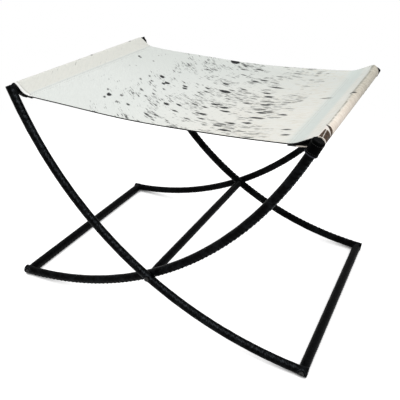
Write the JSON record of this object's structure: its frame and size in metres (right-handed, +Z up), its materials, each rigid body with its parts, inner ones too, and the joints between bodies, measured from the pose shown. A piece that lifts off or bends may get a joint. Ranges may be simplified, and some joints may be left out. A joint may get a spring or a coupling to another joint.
{
  "type": "x frame stool",
  "caption": "Folding X frame stool: bowed iron legs in black stitched leather cross on an axle, with a speckled cowhide sling slung between two rails.",
  "frame": {"origin": "on the floor, midway between the two foot bars and between the front and back legs", "axes": "+Z up, +X across the seat from the left rail to the right rail, which is the longest extent, +Y from front to back along the rails and the axle"},
  "size_m": [0.663, 0.5111, 0.4541],
  "materials": {
    "iron": "black, satin",
    "screws": "black, worn satin",
    "wrap_leather": "black, satin, whip stitched",
    "washers": "black, matte",
    "cowhide": "hair on, white with black and grey speckles",
    "lining": "black, matte"
  },
  "bodies": {
    "fore_frame": {"fore_leg_front": "iron", "fore_leg_back": "iron", "fore_leg_wrap_front": "wrap_leather", "fore_leg_wrap_back": "wrap_leather", "fore_seat_rail": "iron", "fore_foot_rod": "iron", "fore_foot_wrap": "wrap_leather", "fore_foot_screw_front": "screws", "fore_foot_screw_back": "screws", "pivot_axle": "iron", "pivot_axle_wrap": "wrap_leather", "pivot_screw_front": "screws", "pivot_screw_back": "screws", "pivot_washer_front": "washers", "pivot_washer_back": "washers", "seat_hide": "cowhide", "seat_lining": "lining"},
    "aft_frame": {"aft_leg_front": "iron", "aft_leg_back": "iron", "aft_leg_wrap_front": "wrap_leather", "aft_leg_wrap_back": "wrap_leather", "aft_leg_cap_front": "wrap_leather", "aft_leg_cap_back": "wrap_leather", "aft_seat_rail": "iron", "aft_foot_rod": "iron", "aft_foot_wrap": "wrap_leather", "aft_foot_screw_front": "screws", "aft_foot_screw_back": "screws", "seat_sleeve_right": "cowhide"}
  },
  "joints": [
    {"name": "scissor_fold", "type": "hinge", "parent": "fore_frame", "child": "aft_frame", "pos_m": [0, 0, 0.1089], "axis": [0, -1, 0], "range_deg": [0, 70]}
  ]
}
